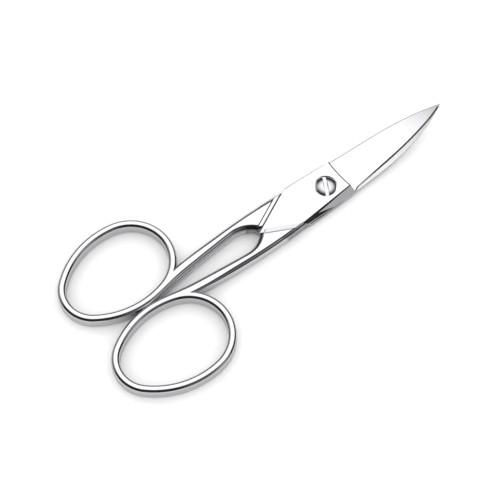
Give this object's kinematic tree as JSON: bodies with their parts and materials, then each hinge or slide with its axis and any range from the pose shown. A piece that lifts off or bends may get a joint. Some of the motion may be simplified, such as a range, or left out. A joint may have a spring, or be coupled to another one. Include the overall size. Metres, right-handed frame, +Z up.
{
  "type": "thread scissors",
  "caption": "Fine scissors with oval finger rings, slim shanks, a lapped joint with a slotted screw, and short upward-curved blades, for snipping threads.",
  "frame": {"origin": "on the surface the scissors lie on, below the middle of the outline", "axes": "+X along the middle line towards the blade tips, +Z up, away from the resting face, along the screw towards its head"},
  "size_m": [0.1006, 0.0446, 0.0065],
  "materials": {
    "upper_half": "mirror-polished plated steel",
    "lower_half": "mirror-polished plated steel",
    "pivot_screw": "turned and plated steel, polished dome"
  },
  "bodies": {
    "lower": {"lower_half": "lower_half", "pivot_screw": "pivot_screw"},
    "upper": {"upper_half": "upper_half"}
  },
  "joints": [
    {"name": "blade_pivot", "type": "hinge", "parent": "lower", "child": "upper", "pos_m": [0.01598, 0, 0.00175], "axis": [0, 0, 1], "range_deg": [0, 115]}
  ]
}
